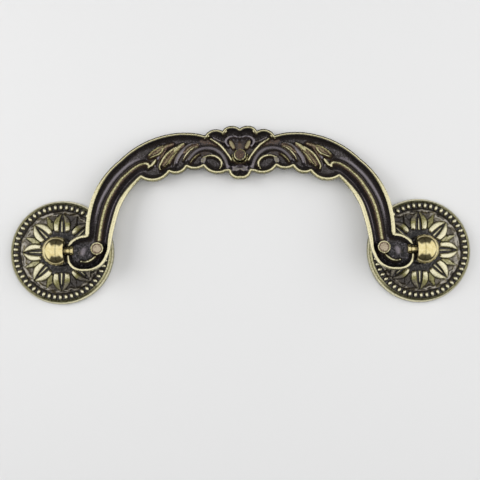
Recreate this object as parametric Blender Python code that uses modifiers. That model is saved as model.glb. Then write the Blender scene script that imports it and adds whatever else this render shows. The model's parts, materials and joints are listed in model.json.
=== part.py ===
# Bail pull, 128 mm between its screws, lying on its back as if on the drawer's face.
# X runs along the pull, +Y towards the raised grip and +Z out of the drawer's face.
# Two beaded rosettes carry turned ball heads. A headed pin stands out of each ball's flat
# into the scroll end of a hollow-backed cast bail, which swings on the two pins.
# Sizes are in millimetres and become metres where a mesh or an object is made.
import math

import bmesh
import bpy
import numpy as np
from mathutils import Matrix, Vector

MM = 0.001

# Fixing and pivot
SCREW_SPACING = 128.0        # centre to centre of the two rosettes
PIVOT_HEIGHT = 11.0          # pin axis above the drawer's face
TOUCH_GAP = 0.3              # between touching pieces
RUNNING_GAP = 0.35           # round the pins, so that the bail swings freely
LIE_GAP = 0.5                # least space under the bail where it lies

# Rosette
ROSETTE_RADIUS = 18.55
EDGE_HEIGHT = 1.2            # thickness at the sloping rim's foot
RIM_TOP_HEIGHT = 3.3
RIM_WIDTH = 1.5              # sloping rim outside the beads
LEDGE_HEIGHT = 3.85          # seat of the beads
LEDGE_MARGIN = 0.1           # of the seat beyond each side of the beads
RIM_HOLLOW = 0.25            # width of the hollow between the rim and the seat
BEAD_RADIUS = 0.8
BEAD_CIRCLE_RADIUS = ROSETTE_RADIUS - RIM_WIDTH - RIM_HOLLOW - LEDGE_MARGIN - BEAD_RADIUS
BEAD_SINK = 0.85             # how far each bead is sunk in its ledge
BEAD_PITCH = 2.0             # from bead to bead along their circle
BEAD_COUNT = round(math.tau * BEAD_CIRCLE_RADIUS / BEAD_PITCH)
FIELD_HEIGHT = 1.7           # dished field inside the beads
FIELD_SLOPE = 1.1            # width over which the field rises to the seat
FIELD_RADIUS = BEAD_CIRCLE_RADIUS - BEAD_RADIUS - LEDGE_MARGIN - FIELD_SLOPE
HUB_RADIUS = 4.4
HUB_HEIGHT = 2.6
HUB_SLOPE = 0.6              # width over which the hub falls to the field
CORING_DEPTH = 2.0           # groove in the back, under the beads
CORING_WIDTH = 2.2
ROSETTE_SIDES = 32

# Petals: twin-lobed and pointed. Stations from base to tip are shares of the length, of the
# half width and of the rise; the points across are shares of the half width and of the rise.
PETAL_COUNT = 8
PETAL_START = 7.0
PETAL_TIP_GAP = 0.2          # from the tips to the field's edge
PETAL_END = FIELD_RADIUS - PETAL_TIP_GAP
PETAL_HALF_WIDTH = 3.1
PETAL_RISE = 1.05
PETAL_SEAT = 0.15            # its edges are sunk this far in the field
PETAL_ROOT = 0.45            # its underside is this far below the field
PETAL_STATIONS = ((0.0, 0.82, 0.7), (0.3, 1.0, 1.0), (0.68, 0.74, 0.85), (1.0, 0.12, 0.45))
PETAL_ACROSS = ((-1.0, 0.0), (-0.62, 1.0), (0.0, 0.35), (0.62, 1.0), (1.0, 0.0))

# Post: ball head, neck, foot and tapped shank
BALL_RADIUS = 5.0
BALL_FLAT = 3.05             # from the ball's centre to its flat
NECK_RADIUS = 2.3
FOOT_RADIUS = 3.6
FOOT_HEIGHT = 0.9
FOOT_FILLET = 0.6            # between the neck and the foot
FOOT_CHAMFER = 0.2
SHANK_RADIUS = 2.5
SHANK_RECESS = 0.4           # the shank ends this far inside the rosette's back
THREAD_RADIUS = 1.65         # core of the M4 thread
THREAD_WALL = 0.7            # between the thread's end and the pin's hole
DRILL_POINT = 0.6            # cone at the thread's end
POST_SIDES = 20

# Headed pin
PIN_RADIUS = 1.3
PIN_DEPTH = 3.9              # pressed length inside the ball
PIN_HEAD_RADIUS = 1.6
PIN_HEAD_LENGTH = 1.1
PIN_HEAD_CHAMFER = 0.3
PIN_SIDES = 16

# Bail section
EDGE_RIM_WIDTH = 1.1         # flat rim round the hollow back
RIM_ABOVE_PIN = 0.4          # the rim's plane above the pin axis
EDGE_THICKNESS = 1.2
SEAT_RELIEF = 0.2            # the scroll's wall is thinned here for the pin's head
SEAT_LENGTH = 3.0            # of the seat's cutter, out through the scroll's wall
FRONT_RISE = 2.4             # how far the front swells beyond its edge
FRONT_ROUND = 2.6            # width over which it swells
SHELL_RISE = 0.4             # extra swell at the crest's shell
SHELL_HALF_WIDTH = 9.0
HOLLOW_DEPTH = 2.2
HOLLOW_ROUND = 1.5           # width of the hollow's round foot
PAD_RADIUS = 2.3             # round pads left by the ejector pins
PAD_LEVEL = -0.35
PAD_ROOT = 0.4               # its foot is sunk this far in the hollow's floor
PAD_PLACES = {"left_end": (-50.1, 1.3), "right_end": (50.1, 1.3), "crest": (0.0, 34.8)}

# Half outlines of the bail in its own plane, as (x, distance from the pin axis, rise). Each
# point starts an arc to the next one. The rise is the arc's height to its left.
OUTER_OUTLINE = [
    (0.0, 44.75, 0.35), (3.1, 45.75, 0.55), (6.2, 43.85, 1.40), (12.5, 42.15, 0.25),
    (18.7, 43.25, 0.20), (24.9, 42.85, 1.70), (43.0, 33.0, 1.30), (52.7, 18.1, 0.45),
    (54.1, 5.9, 0.95), (60.2, 2.2, 0.15), (60.4, -2.2, 1.45), (54.8, -7.2, 0.0)]
INNER_OUTLINE = [
    (0.0, 26.0, -1.00), (4.0, 28.6, 0.0), (5.2, 28.5, -1.50), (13.0, 30.5, -0.90),
    (18.9, 30.3, -1.35), (25.1, 28.4, -2.10), (35.1, 26.4, 0.75), (42.4, 15.5, 0.15),
    (44.6, 6.1, 0.0), (45.3, 1.6, -0.15), (46.3, -1.9, -1.35), (53.0, -7.2, 0.0)]
ROWS_PER_STRETCH = [3, 2, 5, 5, 5, 10, 7, 5, 5, 3, 4]
BACK_LINES = 10              # lines across the hollow, between the two rims
FRONT_LINES = 7

# Ridges in the hollow back: points, half width, level below the rim and the groove that the
# same line has in the front
RIDGES = {
    "arm_rib": ([(55.7, -3.9), (53.8, -4.0), (52.1, -3.4), (50.6, -1.6), (49.8, 1.3),
                 (49.1, 7.7), (48.2, 14.9), (46.8, 18.9), (43.4, 25.3), (38.1, 30.5),
                 (33.5, 32.5)], 0.5, -0.3, 0.9),
    "first_leaf": ([(32.2, 34.3), (29.0, 36.6), (26.1, 38.4)], 1.1, -0.9, 0.5),
    "second_leaf": ([(28.9, 30.6), (27.6, 33.4), (24.0, 36.6), (20.5, 38.6)], 1.0, -0.7, 0.5),
    "third_leaf": ([(23.1, 31.2), (21.4, 34.4), (18.3, 37.2), (14.4, 38.8)], 1.0, -0.8, 0.5),
    "fourth_leaf": ([(17.6, 32.3), (16.2, 34.5), (14.1, 36.3)], 0.8, -0.9, 0.4),
    "c_scroll": ([(14.1, 37.1), (12.0, 37.8), (9.8, 37.8), (7.4, 36.5), (5.3, 34.1),
                  (4.2, 31.5), (4.2, 29.7)], 0.6, -0.8, 0.5),
    "shell_edge": ([(10.2, 41.1), (7.7, 39.2), (5.2, 36.6), (3.1, 33.1)], 0.5, -0.3, 0.6),
    "shell_heart": ([(2.6, 37.0), (3.9, 39.2), (4.4, 41.2), (2.4, 41.8), (0.0, 41.2)],
                    0.5, -0.7, 0.4),
    "pendant": ([(0.0, 29.1), (1.4, 29.3)], 0.8, -0.9, 0.0)}
RIDGE_FOOT = 0.9             # width over which a ridge falls to the hollow
GROOVE_HALF_WIDTH = 1.3

# Linear colour and roughness
ANTIQUE_BRASS = (0.20, 0.15, 0.085, 0.4)
BRIGHT_BRASS = (0.78, 0.66, 0.38, 0.2)

for old in list(bpy.data.objects):
    bpy.data.objects.remove(old, do_unlink=True)


def make_collection(name):
    collection = bpy.data.collections.new(name)
    bpy.context.scene.collection.children.link(collection)
    return collection


PIECES = make_collection("bail_pull")
TOOLS = make_collection("bail_pull_cutters")


def make_material(name, finish):
    *colour, roughness = finish
    material = bpy.data.materials.new(name)
    material.use_nodes = True
    surface = material.node_tree.nodes["Principled BSDF"]
    surface.inputs["Base Color"].default_value = (*colour, 1.0)
    surface.inputs["Metallic"].default_value = 1.0
    surface.inputs["Roughness"].default_value = roughness
    material.diffuse_color = (*colour, 1.0)
    return material


def add_object(name, mesh, collection, material=None):
    made = bpy.data.objects.new(name, mesh)
    collection.objects.link(made)
    if material:
        mesh.materials.append(material)
    return made


def mesh_from_bmesh(name, shape):
    bmesh.ops.scale(shape, vec=(MM, MM, MM), verts=shape.verts)
    mesh = bpy.data.meshes.new(name)
    shape.to_mesh(mesh)
    shape.free()
    return mesh


def hide_tool(tool):
    tool.hide_render = True
    tool.display_type = "WIRE"
    return tool


def profile_mesh(name, profile, closed):
    """A turned piece's half section: (radius, height) pairs in the XZ plane."""
    shape = bmesh.new()
    corners = [shape.verts.new((radius, 0.0, height)) for radius, height in profile]
    for start, end in zip(corners, corners[1:]):
        shape.edges.new((start, end))
    if closed:
        shape.edges.new((corners[-1], corners[0]))
    return mesh_from_bmesh(name, shape)


def add_screw(turned, sides):
    screw = turned.modifiers.new("turned", "SCREW")
    screw.axis = "Z"
    screw.angle = math.tau
    screw.steps = sides
    screw.render_steps = sides
    screw.use_merge_vertices = True
    screw.merge_threshold = 0.00001
    screw.use_smooth_shade = True


def add_boolean(piece, tool, operation):
    cut = piece.modifiers.new(operation.lower() + "_" + tool.name, "BOOLEAN")
    cut.operation = operation
    cut.solver = "EXACT"
    cut.object = tool


def arc_between(start, end, rise, steps):
    """Points on the arc from start to end, whose middle stands rise to the chord's left."""
    start, end = np.array(start), np.array(end)
    chord = end - start
    left = np.array([-chord[1], chord[0]]) / np.linalg.norm(chord)
    share = np.arange(steps) / steps
    if abs(rise) < 1e-6:
        return start + share[:, None] * chord
    half = np.linalg.norm(chord) / 2
    radius = (half ** 2 + rise ** 2) / (2 * abs(rise))
    sweep = 2 * math.asin(min(1.0, half / radius))
    centre = (start + end) / 2 - left * math.copysign(radius - abs(rise), rise)
    spoke = start - centre
    turn = -math.copysign(1.0, rise) * sweep * share
    return centre + np.stack([spoke[0] * np.cos(turn) - spoke[1] * np.sin(turn),
                              spoke[0] * np.sin(turn) + spoke[1] * np.cos(turn)], axis=1)


def outline_points(outline, rows):
    stretches = [arc_between(here[:2], there[:2], here[2], steps)
                 for here, there, steps in zip(outline, outline[1:], rows)]
    return np.concatenate(stretches + [np.array([outline[-1][:2]])])


def smooth_line(points, spacing=0.4):
    """A smooth curve through the points (Catmull-Rom), sampled about every spacing."""
    points = np.array(points)
    padded = np.vstack([2 * points[0] - points[1], points, 2 * points[-1] - points[-2]])
    samples = []
    for before, start, end, after in zip(padded, padded[1:], padded[2:], padded[3:]):
        steps = max(2, int(np.linalg.norm(end - start) / spacing))
        share = (np.arange(steps) / steps)[:, None]
        samples.append(0.5 * (2 * start + (end - before) * share
                              + (2 * before - 5 * start + 4 * end - after) * share ** 2
                              + (3 * start - before - 3 * end + after) * share ** 3))
    return np.concatenate(samples + [points[-1:]])


def distance_to(line, places):
    """Least distance from each place to the segments of a sampled line."""
    best = np.full(places.shape[:-1], np.inf)
    for start, end in zip(line, line[1:]):
        run = end - start
        share = np.clip(((places - start) @ run) / max(run @ run, 1e-12), 0, 1)
        gap = np.linalg.norm(places - start - share[..., None] * run, axis=-1)
        best = np.minimum(best, gap)
    return best


def quarter_round(share):
    share = np.clip(share, 0, 1)
    return np.sqrt(1 - (1 - share) ** 2)


def back_level(places, edge_gap):
    """Hollow back: a flat rim, a round-footed hollow, and ridges with flat tops."""
    hollow = HOLLOW_DEPTH * quarter_round((edge_gap - EDGE_RIM_WIDTH) / HOLLOW_ROUND)
    level = -hollow
    for points, half_width, top, _ in RIDGES.values():
        beyond = distance_to(smooth_line(points), places) - half_width
        ridge = top - (HOLLOW_DEPTH + top) * quarter_round(beyond / RIDGE_FOOT)
        level = np.where(beyond < RIDGE_FOOT, np.maximum(level, ridge), level)
    return np.where(edge_gap <= EDGE_RIM_WIDTH + 0.02, 0.0, level)


def front_level(places, edge_gap):
    """Swelling front: a round shoulder, a fuller crest, and a groove over each ridge."""
    level = -EDGE_THICKNESS - FRONT_RISE * quarter_round(edge_gap / FRONT_ROUND)
    inside = np.clip(edge_gap / FRONT_ROUND, 0, 1)
    level -= SHELL_RISE * inside * np.exp(-(places[..., 0] / SHELL_HALF_WIDTH) ** 2)
    for points, _, _, groove in RIDGES.values():
        share = np.clip(distance_to(smooth_line(points), places) / GROOVE_HALF_WIDTH, 0, 1)
        level = np.maximum(level, level + inside * groove * (1 - share ** 2))
    return level


def lines_across(width):
    """Shares of the band's width: its edge, the rim's two corners, then even lines."""
    rim = np.minimum(EDGE_RIM_WIDTH / width, 1 / BACK_LINES)
    foot = np.minimum((EDGE_RIM_WIDTH + 0.2) / width, 1.5 / BACK_LINES)
    even = np.linspace(0, 1, BACK_LINES)
    hollow = foot[:, None] + (1 - 2 * foot)[:, None] * even[None, :]
    zero = np.zeros_like(width)[:, None]
    return np.hstack([zero, rim[:, None], hollow, 1 - rim[:, None], 1 + zero])


def close_end(shape, back, front):
    """Triangles across the scroll's end, between its back and its front edge."""
    here = there = 0
    while here < len(back) - 1 or there < len(front) - 1:
        along_back = (here + 1) / (len(back) - 1)
        along_front = (there + 1) / (len(front) - 1)
        if along_back <= along_front:
            shape.faces.new((back[here], back[here + 1], front[there]))
            here += 1
        else:
            shape.faces.new((back[here], front[there + 1], front[there]))
            there += 1


def bail_mesh():
    """Half of the casting, open at X = 0, lofted row by row between its two outlines."""
    outer = outline_points(OUTER_OUTLINE, ROWS_PER_STRETCH)
    inner = outline_points(INNER_OUTLINE, ROWS_PER_STRETCH)
    fine_rows = [3 * count for count in ROWS_PER_STRETCH]
    edges = [outline_points(OUTER_OUTLINE, fine_rows), outline_points(INNER_OUTLINE, fine_rows)]
    width = np.linalg.norm(inner - outer, axis=1)
    sections = []
    front_shares = np.tile(np.linspace(0, 1, FRONT_LINES), (len(outer), 1))
    for shares, height_of in ((lines_across(width), back_level), (front_shares, front_level)):
        places = outer[:, None] + shares[..., None] * (inner - outer)[:, None]
        edge_gap = np.minimum(distance_to(edges[0], places), distance_to(edges[1], places))
        edge_gap[:, 0] = 0
        edge_gap[:, -1] = 0
        height = height_of(places, edge_gap) + RIM_ABOVE_PIN
        sections.append(np.concatenate([places, height[..., None]], axis=-1))
    ring = np.concatenate([sections[0], sections[1][:, ::-1]], axis=1)
    shape = bmesh.new()
    grid = [[shape.verts.new(point) for point in row] for row in ring]
    for row, following in zip(grid, grid[1:]):
        for here in range(len(row)):
            there = (here + 1) % len(row)
            shape.faces.new((row[here], row[there], following[there], following[here]))
    back_count = len(sections[0][0])
    close_end(shape, grid[-1][:back_count], grid[-1][back_count:][::-1])
    bmesh.ops.recalc_face_normals(shape, faces=shape.faces)
    return mesh_from_bmesh("bail", shape)


def lie_angle():
    """Tilt at which the bail lies just clear of the beads and of the drawer's face."""
    depth = EDGE_THICKNESS + FRONT_RISE - RIM_ABOVE_PIN
    reed_x = SCREW_SPACING / 2 - (OUTER_OUTLINE[8][0] - FRONT_ROUND)
    bead_reach = BEAD_CIRCLE_RADIUS + BEAD_RADIUS
    crossing = math.sqrt(bead_reach ** 2 - reed_x ** 2)
    over_beads = (PIVOT_HEIGHT - depth - LEDGE_HEIGHT - 2 * BEAD_RADIUS + BEAD_SINK
                  - LIE_GAP) / crossing
    crest = OUTER_OUTLINE[0][1] - EDGE_RIM_WIDTH - FRONT_ROUND
    over_face = (PIVOT_HEIGHT - depth - SHELL_RISE - LIE_GAP) / crest
    return math.asin(min(over_beads, over_face))


LIE_ANGLE = lie_angle()

# The origin is under the middle of the whole pull, on the drawer's face
CREST_REACH = (max(point[1] for point in OUTER_OUTLINE) * math.cos(LIE_ANGLE)
               + RIM_ABOVE_PIN * math.sin(LIE_ANGLE))
PIVOT_Y = (ROSETTE_RADIUS - CREST_REACH) / 2


def turned_pin_profile(grow, tail):
    """Pin along +Z from its head, made larger all round by grow, with its tail at tail."""
    head = PIN_HEAD_RADIUS + grow
    shank = PIN_RADIUS + grow
    end = -PIN_HEAD_LENGTH - grow
    return [(0.0, tail), (shank, tail), (shank, grow), (head, grow),
            (head, end + PIN_HEAD_CHAMFER), (head - PIN_HEAD_CHAMFER, end), (0.0, end)]


def pin_frame(side):
    """Place of a pin: its Z axis runs from the head out towards the ball."""
    turn = Matrix.Rotation(side * math.pi / 2, 4, "Y")
    head_x = side * (SCREW_SPACING / 2 - BALL_FLAT - flat_to_head())
    return Matrix.Translation(Vector((head_x, PIVOT_Y, PIVOT_HEIGHT)) * MM) @ turn


def flat_to_head():
    """From the ball's flat to the pin head's shoulder: the scroll's wall and its gaps."""
    scroll_edge = max(point[0] for point in OUTER_OUTLINE)
    flat = SCREW_SPACING / 2 - BALL_FLAT
    return flat - scroll_edge + EDGE_RIM_WIDTH + RUNNING_GAP - SEAT_RELIEF


def add_pin_tool(name, side, grow, tail):
    tool = add_object(name, profile_mesh(name, turned_pin_profile(grow, tail), False), TOOLS)
    add_screw(tool, PIN_SIDES)
    tool.matrix_world = pin_frame(side)
    return hide_tool(tool)


def add_pad_tool(name, place):
    shape = bmesh.new()
    height = HOLLOW_DEPTH + PAD_LEVEL + PAD_ROOT
    bmesh.ops.create_cone(shape, cap_ends=True, segments=20, radius1=PAD_RADIUS,
                          radius2=PAD_RADIUS, depth=height)
    middle = RIM_ABOVE_PIN + PAD_LEVEL - height / 2
    bmesh.ops.translate(shape, vec=(place[0], place[1], middle), verts=shape.verts)
    return hide_tool(add_object(name, mesh_from_bmesh(name, shape), TOOLS))


def build_bail(material):
    bail = add_object("bail", bail_mesh(), PIECES, material)
    bail.location = Vector((0.0, PIVOT_Y, PIVOT_HEIGHT)) * MM
    bail.rotation_euler = (-LIE_ANGLE, 0.0, 0.0)
    mirror = bail.modifiers.new("other_half", "MIRROR")
    mirror.use_axis[0] = True
    mirror.use_mirror_merge = True
    mirror.merge_threshold = 0.00001
    for name, place in PAD_PLACES.items():
        pad = add_pad_tool(name + "_pad", place)
        pad.parent = bail
        add_boolean(bail, pad, "UNION")
    for name, side in (("left", -1), ("right", 1)):
        seat = add_pin_tool(name + "_seat_cutter", side, RUNNING_GAP, SEAT_LENGTH)
        add_boolean(bail, seat, "DIFFERENCE")
    return bail


def rosette_profile():
    """Closed half section, down the outer side and back along the flat, cored underside."""
    hole = SHANK_RADIUS + TOUCH_GAP
    ledge = BEAD_RADIUS + LEDGE_MARGIN
    return [(hole, HUB_HEIGHT), (HUB_RADIUS, HUB_HEIGHT),
            (HUB_RADIUS + HUB_SLOPE, FIELD_HEIGHT), (FIELD_RADIUS, FIELD_HEIGHT),
            (BEAD_CIRCLE_RADIUS - ledge, LEDGE_HEIGHT), (BEAD_CIRCLE_RADIUS + ledge, LEDGE_HEIGHT),
            (ROSETTE_RADIUS - RIM_WIDTH, RIM_TOP_HEIGHT),
            (ROSETTE_RADIUS, EDGE_HEIGHT), (ROSETTE_RADIUS, 0.0),
            (BEAD_CIRCLE_RADIUS + CORING_WIDTH / 2, 0.0), (BEAD_CIRCLE_RADIUS, CORING_DEPTH),
            (BEAD_CIRCLE_RADIUS - CORING_WIDTH / 2, 0.0), (hole, 0.0)]


def add_petal(shape, angle):
    """One petal as a closed pad: lobes either side of a vein, narrowing to a point."""
    spin = Matrix.Rotation(angle, 3, "Z")
    top, bottom = [], []
    for length_share, width_share, rise_share in PETAL_STATIONS:
        along = PETAL_START + (PETAL_END - PETAL_START) * length_share
        spread = PETAL_HALF_WIDTH * width_share
        rise = PETAL_SEAT + PETAL_RISE * rise_share
        for row, base, swell in ((top, FIELD_HEIGHT - PETAL_SEAT, rise),
                                 (bottom, FIELD_HEIGHT - PETAL_ROOT, 0.0)):
            row.append([shape.verts.new(spin @ Vector((along, side * spread, base + swell * high)))
                        for side, high in PETAL_ACROSS])
    for surface in (top, bottom):
        for row, following in zip(surface, surface[1:]):
            for side in range(len(row) - 1):
                shape.faces.new((row[side], following[side], following[side + 1],
                                 row[side + 1]))
    columns = len(PETAL_ACROSS) - 1
    stations = len(PETAL_STATIONS) - 1
    rim = ([(0, side) for side in range(columns)]
           + [(row, columns) for row in range(stations)]
           + [(stations, side) for side in range(columns, 0, -1)]
           + [(row, 0) for row in range(stations, 0, -1)])
    for (row, side), (next_row, next_side) in zip(rim, rim[1:] + rim[:1]):
        shape.faces.new((top[row][side], top[next_row][next_side],
                         bottom[next_row][next_side], bottom[row][side]))


def ornament_mesh():
    """Petals and beads, as separate closed bodies for one union."""
    shape = bmesh.new()
    for number in range(PETAL_COUNT):
        add_petal(shape, number * math.tau / PETAL_COUNT)
    for number in range(BEAD_COUNT):
        angle = (number + 0.5) * math.tau / BEAD_COUNT
        place = Matrix.Translation((BEAD_CIRCLE_RADIUS * math.cos(angle),
                                    BEAD_CIRCLE_RADIUS * math.sin(angle),
                                    LEDGE_HEIGHT + BEAD_RADIUS - BEAD_SINK))
        bmesh.ops.create_uvsphere(shape, u_segments=5, v_segments=4, radius=BEAD_RADIUS,
                                  matrix=place @ Matrix.Rotation(angle, 4, "Z"))
    bmesh.ops.recalc_face_normals(shape, faces=shape.faces)
    return mesh_from_bmesh("ornament", shape)


def build_rosette(name, side, material):
    rosette = add_object(name, profile_mesh(name, rosette_profile(), True), PIECES, material)
    add_screw(rosette, ROSETTE_SIDES)
    rosette.location = Vector((side * SCREW_SPACING / 2, PIVOT_Y, 0.0)) * MM
    ornament = hide_tool(add_object(name + "_ornament", ornament_mesh(), TOOLS))
    ornament.location = rosette.location
    add_boolean(rosette, ornament, "UNION")
    return rosette


def post_profile():
    """Half section from the ball's top down the neck, foot and shank, and up the thread."""
    neck_top = PIVOT_HEIGHT - math.sqrt(BALL_RADIUS ** 2 - NECK_RADIUS ** 2)
    neck_angle = math.acos((PIVOT_HEIGHT - neck_top) / BALL_RADIUS)
    ball = [(BALL_RADIUS * math.sin(turn), PIVOT_HEIGHT + BALL_RADIUS * math.cos(turn))
            for turn in np.linspace(0, math.pi - neck_angle, 9)]
    seat = HUB_HEIGHT + TOUCH_GAP
    foot_top = seat + FOOT_HEIGHT
    thread_end = PIVOT_HEIGHT - PIN_RADIUS - TOUCH_GAP - THREAD_WALL
    return ball + [(NECK_RADIUS, foot_top + FOOT_FILLET), (NECK_RADIUS + FOOT_FILLET, foot_top),
                   (FOOT_RADIUS, foot_top - FOOT_CHAMFER), (FOOT_RADIUS, seat),
                   (SHANK_RADIUS, seat), (SHANK_RADIUS, SHANK_RECESS),
                   (THREAD_RADIUS, SHANK_RECESS), (THREAD_RADIUS, thread_end),
                   (0.0, thread_end + DRILL_POINT)]


def add_flat_tool(name, side):
    size = 3 * BALL_RADIUS
    shape = bmesh.new()
    bmesh.ops.create_cube(shape, size=size)
    place = (side * (SCREW_SPACING / 2 - BALL_FLAT - size / 2), PIVOT_Y,
             PIVOT_HEIGHT + size / 2 - BALL_RADIUS)
    bmesh.ops.translate(shape, vec=place, verts=shape.verts)
    return hide_tool(add_object(name, mesh_from_bmesh(name, shape), TOOLS))


def build_post(name, side, material):
    post = add_object(name, profile_mesh(name, post_profile(), False), PIECES, material)
    add_screw(post, POST_SIDES)
    post.location = Vector((side * SCREW_SPACING / 2, PIVOT_Y, 0.0)) * MM
    add_boolean(post, add_flat_tool(name + "_flat_cutter", side), "DIFFERENCE")
    bore = add_pin_tool(name + "_bore_cutter", side, TOUCH_GAP,
                        flat_to_head() + PIN_DEPTH + TOUCH_GAP)
    add_boolean(post, bore, "DIFFERENCE")
    return post


def build_pin(name, side, material):
    profile = turned_pin_profile(0.0, flat_to_head() + PIN_DEPTH)
    pin = add_object(name, profile_mesh(name, profile, False), PIECES, material)
    add_screw(pin, PIN_SIDES)
    pin.matrix_world = pin_frame(side)
    return pin


def build():
    antique = {name: make_material(name + "_antique_brass", ANTIQUE_BRASS)
               for name in ("bail", "left_rosette", "right_rosette")}
    bright = {name: make_material(name + "_bright_brass", BRIGHT_BRASS)
              for name in ("left_post", "right_post", "left_pin", "right_pin")}
    build_bail(antique["bail"])
    for word, side in (("left", -1), ("right", 1)):
        build_rosette(word + "_rosette", side, antique[word + "_rosette"])
        build_post(word + "_post", side, bright[word + "_post"])
        build_pin(word + "_pin", side, bright[word + "_pin"])
    bpy.context.view_layer.update()


build()
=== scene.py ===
# Bail pull on a white table, seen from above: hollow cast bail, two beaded rosettes, turned
# ball posts and headed pins. Sizes are in millimetres and become metres in surfaceMesh.
import json
import math

import bmesh
import bpy
import numpy as np
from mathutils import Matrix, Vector


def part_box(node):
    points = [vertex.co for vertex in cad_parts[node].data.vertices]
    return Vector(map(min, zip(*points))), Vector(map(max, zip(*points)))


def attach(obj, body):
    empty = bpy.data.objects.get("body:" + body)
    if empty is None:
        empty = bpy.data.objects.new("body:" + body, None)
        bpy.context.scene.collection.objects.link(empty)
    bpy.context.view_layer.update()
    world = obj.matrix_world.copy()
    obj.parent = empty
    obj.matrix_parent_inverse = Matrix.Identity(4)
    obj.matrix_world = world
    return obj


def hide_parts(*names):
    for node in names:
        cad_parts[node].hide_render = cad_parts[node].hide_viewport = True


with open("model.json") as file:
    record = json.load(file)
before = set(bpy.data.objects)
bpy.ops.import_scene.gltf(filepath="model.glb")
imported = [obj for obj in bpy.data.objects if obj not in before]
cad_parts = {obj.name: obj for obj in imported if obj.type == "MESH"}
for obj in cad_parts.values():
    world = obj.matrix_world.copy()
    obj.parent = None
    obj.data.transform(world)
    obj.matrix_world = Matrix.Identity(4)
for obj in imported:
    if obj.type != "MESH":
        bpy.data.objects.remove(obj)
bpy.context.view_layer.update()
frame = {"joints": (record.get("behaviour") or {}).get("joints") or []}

mm = 0.001
scene = bpy.context.scene
pivot = np.array(frame["joints"][0]["pos_m"]) / mm    # a point on the axis of the two pins
print("frame loaded, pin axis at", pivot.round(2), "mm")


# Shared functions

def smoothStep(low, high, value):    # 0 below low, 1 above high, an even S between them
    share = np.clip((value - low) / (high - low), 0, 1)
    return share * share * (3 - 2 * share)


def ellipse(share):    # quarter of an ellipse: steep at 0, level from 1 on
    share = np.clip(share, 0, 1)
    return np.sqrt(1 - (1 - share) ** 2)


def softMax(first, second, blend):    # the larger of two heights, rounded where they meet
    mix = np.clip(0.5 + 0.5 * (second - first) / blend, 0, 1)
    return first + (second - first) * mix + blend * mix * (1 - mix)


def arcPoints(start, end, rise, steps):
    # steps points on the arc from start to end, whose middle stands rise to the chord's left
    start, end = np.array(start), np.array(end)
    chord = end - start
    share = np.arange(steps) / steps
    if rise == 0:
        return start + share[:, None] * chord
    left = np.array([-chord[1], chord[0]]) / np.linalg.norm(chord)
    half = np.linalg.norm(chord) / 2
    radius = (half ** 2 + rise ** 2) / (2 * abs(rise))
    sweep = 2 * math.asin(min(1.0, half / radius))
    centre = (start + end) / 2 - left * math.copysign(radius - abs(rise), rise)
    turn = -math.copysign(1.0, rise) * sweep * share
    spoke = start - centre
    return centre + np.stack([spoke[0] * np.cos(turn) - spoke[1] * np.sin(turn),
                              spoke[0] * np.sin(turn) + spoke[1] * np.cos(turn)], axis=1)


def smoothLine(points, spacing=0.35):
    # a smooth curve through the points: each piece is a cubic whose slope at a point is the
    # direction between its two neighbours
    points = np.array(points, float)
    padded = np.vstack([2 * points[0] - points[1], points, 2 * points[-1] - points[-2]])
    pieces = []
    for before, start, end, after in zip(padded, padded[1:], padded[2:], padded[3:]):
        share = np.linspace(0, 1, max(3, int(np.linalg.norm(end - start) / spacing)),
                            endpoint=False)[:, None]
        pieces.append(0.5 * (2 * start + (end - before) * share
                             + (2 * before - 5 * start + 4 * end - after) * share ** 2
                             + (3 * start - before - 3 * end + after) * share ** 3))
    return np.concatenate(pieces + [points[-1:]])


def nearestOn(line, places):
    # for every place its least distance to the straight pieces of a line, and how far along
    # the line that is, from 0 to 1; all pairs at once
    start, run = line[:-1], np.diff(line, axis=0)
    offset = places[..., None, :] - start
    share = np.clip((offset * run).sum(-1) / np.maximum((run * run).sum(-1), 1e-12), 0, 1)
    gaps = np.linalg.norm(offset - share[..., None] * run, axis=-1)
    least = gaps.argmin(-1)[..., None]
    along = (least + np.take_along_axis(share, least, -1)) / len(run)
    return np.take_along_axis(gaps, least, -1)[..., 0], along[..., 0]


def surfaceMesh(name, points, values=None, ring=True, sharpAngle=50):
    # a grid of points, rows by columns, in millimetres, as one closed mesh: the last column
    # joins the first, ring joins the last row to the first, and rows that shrink to one
    # place are welded there; values are painted on the points by name
    rows, columns = points.shape[:2]
    index = np.arange(rows * columns).reshape(rows, columns)
    here = index if ring else index[:-1]
    below = np.roll(index, -1, axis=0) if ring else index[1:]
    quads = np.stack([here, np.roll(here, -1, 1), np.roll(below, -1, 1), below], -1)
    mesh = bpy.data.meshes.new(name)
    mesh.from_pydata((points.reshape(-1, 3) * mm).tolist(), [], quads.reshape(-1, 4).tolist())
    for key, value in (values or {}).items():
        layer = mesh.attributes.new(key, "FLOAT", "POINT")
        layer.data.foreach_set("value", value.reshape(-1).astype(np.float32))
    shape = bmesh.new()
    shape.from_mesh(mesh)
    bmesh.ops.remove_doubles(shape, verts=shape.verts, dist=1e-7)
    bmesh.ops.recalc_face_normals(shape, faces=shape.faces)
    shape.to_mesh(mesh)
    shape.free()
    mesh.shade_smooth()
    mesh.set_sharp_from_angle(angle=math.radians(sharpAngle))
    made = bpy.data.objects.new(name, mesh)
    scene.collection.objects.link(made)
    return made


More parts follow.
